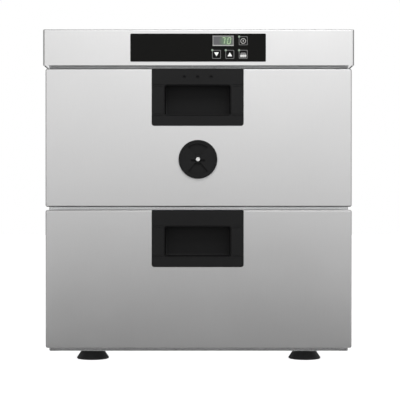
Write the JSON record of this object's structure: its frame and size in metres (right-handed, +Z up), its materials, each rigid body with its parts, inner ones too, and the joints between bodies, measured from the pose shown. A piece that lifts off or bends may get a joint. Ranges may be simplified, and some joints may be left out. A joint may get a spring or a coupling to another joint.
{
  "type": "countertop warming drawer",
  "caption": "Countertop warming cabinet with two insulated pull-out drawers that hold full-size food pans, a vent dial and a small control panel.",
  "frame": {"origin": "middle of the footprint, on the floor under the feet", "axes": "+X to the right as seen from the front, +Y to the back, +Z up; the drawers pull out along -Y"},
  "size_m": [0.4956, 0.676, 0.5315],
  "materials": {
    "brushed_skin": "vertical brushed satin stainless steel",
    "case_steel": "satin stainless sheet",
    "liner_steel": "satin stainless liner sheet",
    "slide_steel": "zinc-plated rolled steel",
    "pan_steel": "polished deep-drawn stainless steel",
    "black_moulding": "fine-textured black moulded plastic",
    "fascia_black": "satin black keypad overlay",
    "key_black": "satin black key caps with printed signs",
    "window_grey": "grey tinted display window",
    "display_green": "green lit display",
    "light_green": "pale green light pipes",
    "board_green": "solder-masked circuit board",
    "wool": "mineral wool slab",
    "heater_steel": "heat-tinted tube",
    "screw_steel": "plain stainless screws",
    "foot_rubber": "black rubber",
    "gasket_rubber": "dark grey silicone",
    "gland_plastic": "black nylon",
    "core_steel": "varnished laminations",
    "device_plastic": "ivory moulded plastic",
    "sink_aluminium": "anodised aluminium heat sink"
  },
  "bodies": {
    "cabinet": {"left_side_panel": "case_steel", "right_side_panel": "case_steel", "back_panel": "case_steel", "base_panel": "case_steel", "front_frame": "case_steel", "top_cover": "brushed_skin", "control_tray": "case_steel", "liner_side_walls": "liner_steel", "liner_back_wall": "liner_steel", "liner_ceiling": "liner_steel", "liner_floor": "liner_steel", "cabinet_insulation": "wool", "heater_element": "heater_steel", "heater_clips": "liner_steel", "cavity_probe": "liner_steel", "fascia_panel": "fascia_black", "display_window": "window_grey", "display_module": "display_green", "control_board": "board_green", "board_standoffs": "screw_steel", "indicator_lights": "light_green", "power_relay": "sink_aluminium", "transformer": "core_steel", "safety_thermostat": "device_plastic", "terminal_block": "device_plastic", "cable_gland": "gland_plastic", "gland_nut": "gland_plastic", "feet": "foot_rubber", "foot_screws": "screw_steel", "cover_screws": "screw_steel", "back_screws": "screw_steel", "lower_slide_outers": "slide_steel", "upper_slide_outers": "slide_steel"},
    "lower_slide_middle": {"lower_slide_middles": "slide_steel"},
    "upper_slide_middle": {"upper_slide_middles": "slide_steel"},
    "lower_drawer": {"lower_slide_inners": "slide_steel", "lower_front_skin": "brushed_skin", "lower_backplate": "liner_steel", "lower_front_insulation": "wool", "lower_handle": "black_moulding", "lower_gasket": "gasket_rubber", "lower_pan_frame": "liner_steel", "lower_pan": "pan_steel", "lower_drawer_screws": "screw_steel"},
    "upper_drawer": {"upper_slide_inners": "slide_steel", "upper_front_skin": "brushed_skin", "upper_backplate": "liner_steel", "upper_front_insulation": "wool", "upper_handle": "black_moulding", "upper_gasket": "gasket_rubber", "upper_pan_frame": "liner_steel", "upper_pan": "pan_steel", "upper_drawer_screws": "screw_steel", "vent_housing": "black_moulding", "vent_screw": "screw_steel"},
    "vent_dial": {"vent_dial": "black_moulding"},
    "power_key": {"power_key": "key_black"},
    "down_key": {"down_key": "key_black"},
    "up_key": {"up_key": "key_black"},
    "function_key": {"function_key": "key_black"}
  },
  "joints": [
    {"name": "lower_drawer_slide", "type": "slide", "parent": "cabinet", "child": "lower_drawer", "axis": [0, -1, 0], "range_m": [0, 0.5]},
    {"name": "lower_middle_slide", "type": "slide", "parent": "cabinet", "child": "lower_slide_middle", "axis": [0, -1, 0], "range_m": [0, 0.25]},
    {"name": "upper_drawer_slide", "type": "slide", "parent": "cabinet", "child": "upper_drawer", "axis": [0, -1, 0], "range_m": [0, 0.5]},
    {"name": "upper_middle_slide", "type": "slide", "parent": "cabinet", "child": "upper_slide_middle", "axis": [0, -1, 0], "range_m": [0, 0.25]},
    {"name": "vent_turn", "type": "hinge", "parent": "upper_drawer", "child": "vent_dial", "pos_m": [-0.001, -0.33, 0.326], "axis": [0, -1, 0], "range_deg": [0, 90]},
    {"name": "power_key_press", "type": "slide", "parent": "cabinet", "child": "power_key", "axis": [0, 1, 0], "range_m": [0, 0.0005], "stiffness_N_per_m": 1500},
    {"name": "down_key_press", "type": "slide", "parent": "cabinet", "child": "down_key", "axis": [0, 1, 0], "range_m": [0, 0.0005], "stiffness_N_per_m": 1500},
    {"name": "up_key_press", "type": "slide", "parent": "cabinet", "child": "up_key", "axis": [0, 1, 0], "range_m": [0, 0.0005], "stiffness_N_per_m": 1500},
    {"name": "function_key_press", "type": "slide", "parent": "cabinet", "child": "function_key", "axis": [0, 1, 0], "range_m": [0, 0.0005], "stiffness_N_per_m": 1500}
  ],
  "couplings": [
    {"joint": "lower_middle_slide", "follows": "lower_drawer_slide", "ratio": 0.5},
    {"joint": "upper_middle_slide", "follows": "upper_drawer_slide", "ratio": 0.5}
  ]
}
